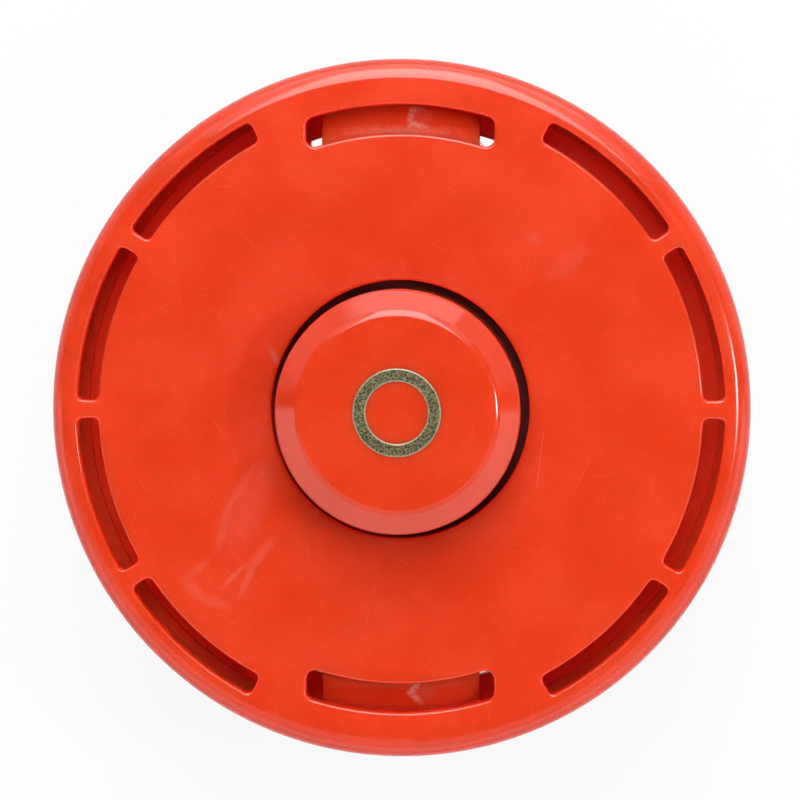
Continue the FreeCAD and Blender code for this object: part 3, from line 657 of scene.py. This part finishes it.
# Wear ring
# A turned steel ring, zinc plated and yellow passivated and mottled, with pale edges that are rubbed wear
# and painted highlight.
# It is let into the knob's face, so that the ground wears steel and not plastic.
RING_INNER_RADIUS = 0.0048
RING_OUTER_RADIUS = 0.00685
RING_PALE_EDGE_WIDTH = 0.0003
RING_OLIVE = (0.052, 0.050, 0.025)
RING_GOLD = (0.34, 0.31, 0.17)
# Pale edge colour: rubbed wear together with a painted highlight.
RING_WORN_AND_HIGHLIGHT = (0.66, 0.53, 0.38)
ring_zinc = plated_metal(
    "ring_passivated_zinc", RING_OLIVE, RING_GOLD, roughness=0.36, patch=0.00032,
    worn_and_highlit_edges=(RING_INNER_RADIUS, RING_OUTER_RADIUS, RING_PALE_EDGE_WIDTH, RING_WORN_AND_HIGHLIGHT))
dress("wear_ring", ring_zinc)

# Studio
# A white table under the head, a large soft box behind it and a small one at its right.
# White cards in front and behind show in the gloss, and the background is plain white.
WHITE = (1.0, 1.0, 1.0, 1.0)
TABLE_PAPER = (0.9, 0.9, 0.9, 1.0)
TABLE_HALF = 4.0
TABLE_TOP = -0.0001
TABLE_GLOW = 0.9
table_mesh = bpy.data.meshes.new("studio_table")
table_corners = [
    (x * TABLE_HALF, y * TABLE_HALF, TABLE_TOP) for x, y in ((-1, -1), (1, -1), (1, 1), (-1, 1))]
table_mesh.from_pydata(table_corners, [], [(0, 1, 2, 3)])
table = new_piece("studio_table", table_mesh)


def seen_directly(tree):
    """The camera's rays, and all rays that show the background: also in gloss and through glass."""
    path = tree.nodes.new("ShaderNodeLightPath").outputs
    shown = math_node(tree, "MAXIMUM", path["Is Camera Ray"], path["Is Glossy Ray"])
    return path["Is Camera Ray"], math_node(tree, "MAXIMUM", shown, path["Is Transmission Ray"])


table_white = bpy.data.materials.new("white_table")
table_white.use_nodes = True
table_tree = table_white.node_tree
table_tree.nodes.clear()
table_shown = seen_directly(table_tree)[1]
paper = add(table_tree, "ShaderNodeBsdfDiffuse", {"Color": TABLE_PAPER}).outputs[0]
glow = add(table_tree, "ShaderNodeEmission", {"Color": WHITE, "Strength": 1.0}).outputs[0]
table_share = math_node(table_tree, "MULTIPLY", table_shown, TABLE_GLOW)
table_look = add(table_tree, "ShaderNodeMixShader", {0: table_share, 1: paper, 2: glow}).outputs[0]
add(table_tree, "ShaderNodeOutputMaterial", {"Surface": table_look})
table_mesh.materials.append(table_white)

# Cards: each edge is a pair of limits on the direction of a reflection, where 1 is straight up or straight
# back. On the back card and wall it is how far aside the direction leans for each unit that it leans back.
FILL = 0.235
FRONT_FILL = 0.50
FRONT_FILL_EDGE = (0.0, -0.8)
OVERHEAD = 0.05
LOW_EDGE = (0.42, 0.52)
HIGH_EDGE = (0.86, 0.98)
FRONT_CARD = 1.6
FRONT_CARD_EDGE = (0.02, -0.03)
FRONT_WALL = 0.9
FRONT_WALL_EDGE = (-0.05, -0.35)
BACK_CARD = 2.8
BACK_CARD_RIGHT = (0.67, 0.63)
BACK_CARD_LEFT = (-0.85, -0.3)
BACK_WALL = 1.6
BACK_WALL_RIGHT = (1.3, 0.8)
BACK_WALL_LEFT = (-1.3, -0.8)
BACK_SIDES = 0.7
BACK_SIDES_EDGE = (0.05, 0.3)
LEAST_BACK = 0.02
world = bpy.data.worlds.new("studio")
bpy.context.scene.world = world
world.use_nodes = True
sky = world.node_tree
sky.nodes.clear()
camera_ray, shown_ray = seen_directly(sky)
toward = sky.nodes.new("ShaderNodeTexCoord").outputs["Generated"]
toward_x, toward_y, toward_z = add(sky, "ShaderNodeSeparateXYZ", {0: toward}).outputs
low = ramp(sky, toward_z, *LOW_EDGE, 1.0, 0.0)
high = ramp(sky, toward_z, *HIGH_EDGE, 1.0, 0.0)
behind = math_node(sky, "GREATER_THAN", toward_y, 0.0)
aside = math_node(sky, "DIVIDE", toward_x, math_node(sky, "MAXIMUM", toward_y, LEAST_BACK))
front_card = math_node(sky, "MULTIPLY", ramp(sky, toward_y, *FRONT_CARD_EDGE), low)
front_wall = math_node(sky, "MULTIPLY", ramp(sky, toward_y, *FRONT_WALL_EDGE), high)
back_card = math_node(
    sky, "MULTIPLY", ramp(sky, aside, *BACK_CARD_RIGHT), ramp(sky, aside, *BACK_CARD_LEFT))
back_card = math_node(sky, "MULTIPLY", math_node(sky, "MULTIPLY", back_card, behind), low)
back_wall = math_node(
    sky, "MULTIPLY", ramp(sky, aside, *BACK_WALL_RIGHT), ramp(sky, aside, *BACK_WALL_LEFT))
back_wall = math_node(sky, "MULTIPLY", math_node(sky, "MULTIPLY", back_wall, behind), high)
back_wall = math_node(sky, "MULTIPLY", back_wall, math_node(sky, "SUBTRACT", 1.0, low))
back_sides = math_node(sky, "MULTIPLY", ramp(sky, toward_y, *BACK_SIDES_EDGE), low)
mirrored = OVERHEAD
for card, brightness in (
        (front_card, FRONT_CARD), (front_wall, FRONT_WALL), (back_card, BACK_CARD), (back_wall, BACK_WALL),
        (back_sides, BACK_SIDES)):
    mirrored = math_node(sky, "MAXIMUM", mirrored, math_node(sky, "MULTIPLY", card, brightness))
fill = math_node(sky, "MULTIPLY", ramp(sky, toward_y, *FRONT_FILL_EDGE), FRONT_FILL)
fill = math_node(sky, "ADD", fill, FILL)
fill_light = add(sky, "ShaderNodeBackground", {"Color": WHITE, "Strength": fill}).outputs[0]
cards = add(sky, "ShaderNodeBackground", {"Color": WHITE, "Strength": mirrored}).outputs[0]
backdrop = add(sky, "ShaderNodeBackground", {"Color": WHITE, "Strength": 1.0}).outputs[0]
lit = add(sky, "ShaderNodeMixShader", {0: shown_ray, 1: fill_light, 2: cards}).outputs[0]
surroundings = add(sky, "ShaderNodeMixShader", {0: camera_ray, 1: lit, 2: backdrop}).outputs[0]
add(sky, "ShaderNodeOutputWorld", {"Surface": surroundings})

LAMP_AIM = Vector((0, 0, 0.05))


def soft_box(name, azimuth, elevation, distance, width, height, watts):
    """A rectangular lamp that faces the head, by its direction in degrees from +X."""
    around = math.radians(azimuth)
    above = math.radians(elevation)
    direction = Vector((
        math.cos(around) * math.cos(above), math.sin(around) * math.cos(above), math.sin(above)))
    lamp = bpy.data.lights.new(name, "AREA")
    lamp.shape = "RECTANGLE"
    lamp.size = width
    lamp.size_y = height
    lamp.energy = watts
    box = bpy.data.objects.new(name, lamp)
    box.location = LAMP_AIM + direction * distance
    box.rotation_euler = direction.to_track_quat("Z", "Y").to_euler()
    bpy.context.collection.objects.link(box)


soft_box("key_box", azimuth=90, elevation=54, distance=1.2, width=0.56, height=1.06, watts=12.0)
soft_box("side_box", azimuth=1, elevation=52, distance=1.0, width=0.15, height=0.12, watts=2.2)

# Camera
# It looks down on the knob, a few degrees off the drive axis towards the upper right of the picture.
# Its lens is chosen so that the cover's rim is as wide in the picture as in the photograph.
PICTURE_PIXELS = 800
RIM_PIXELS = 349.2
RIM_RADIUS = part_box("cover")[1][0]
SENSOR_MM = 36.0
OFF_AXIS = math.radians(3.23)
OFF_AXIS_TOWARDS = math.radians(44.2)
DISTANCE = 0.65
AIM = Vector((-0.000125, 0.00136, 0.050))
NEAREST = 0.01
FARTHEST = 50.0
toward_camera = Vector((
    math.cos(OFF_AXIS_TOWARDS) * math.sin(OFF_AXIS),
    math.sin(OFF_AXIS_TOWARDS) * math.sin(OFF_AXIS),
    math.cos(OFF_AXIS)))
right = Vector((0, 1, 0)).cross(toward_camera).normalized()
up = toward_camera.cross(right)
lens = bpy.data.cameras.new("camera")
lens.sensor_width = SENSOR_MM
lens.lens = RIM_PIXELS / PICTURE_PIXELS * SENSOR_MM * DISTANCE / RIM_RADIUS
lens.clip_start = NEAREST
lens.clip_end = FARTHEST
camera = bpy.data.objects.new("camera", lens)
stand = AIM + toward_camera * DISTANCE
camera.matrix_world = Matrix((
    (right.x, up.x, toward_camera.x, stand.x),
    (right.y, up.y, toward_camera.y, stand.y),
    (right.z, up.z, toward_camera.z, stand.z),
    (0, 0, 0, 1)))
bpy.context.collection.objects.link(camera)
bpy.context.scene.camera = camera
bpy.context.scene.view_settings.view_transform = "Standard"
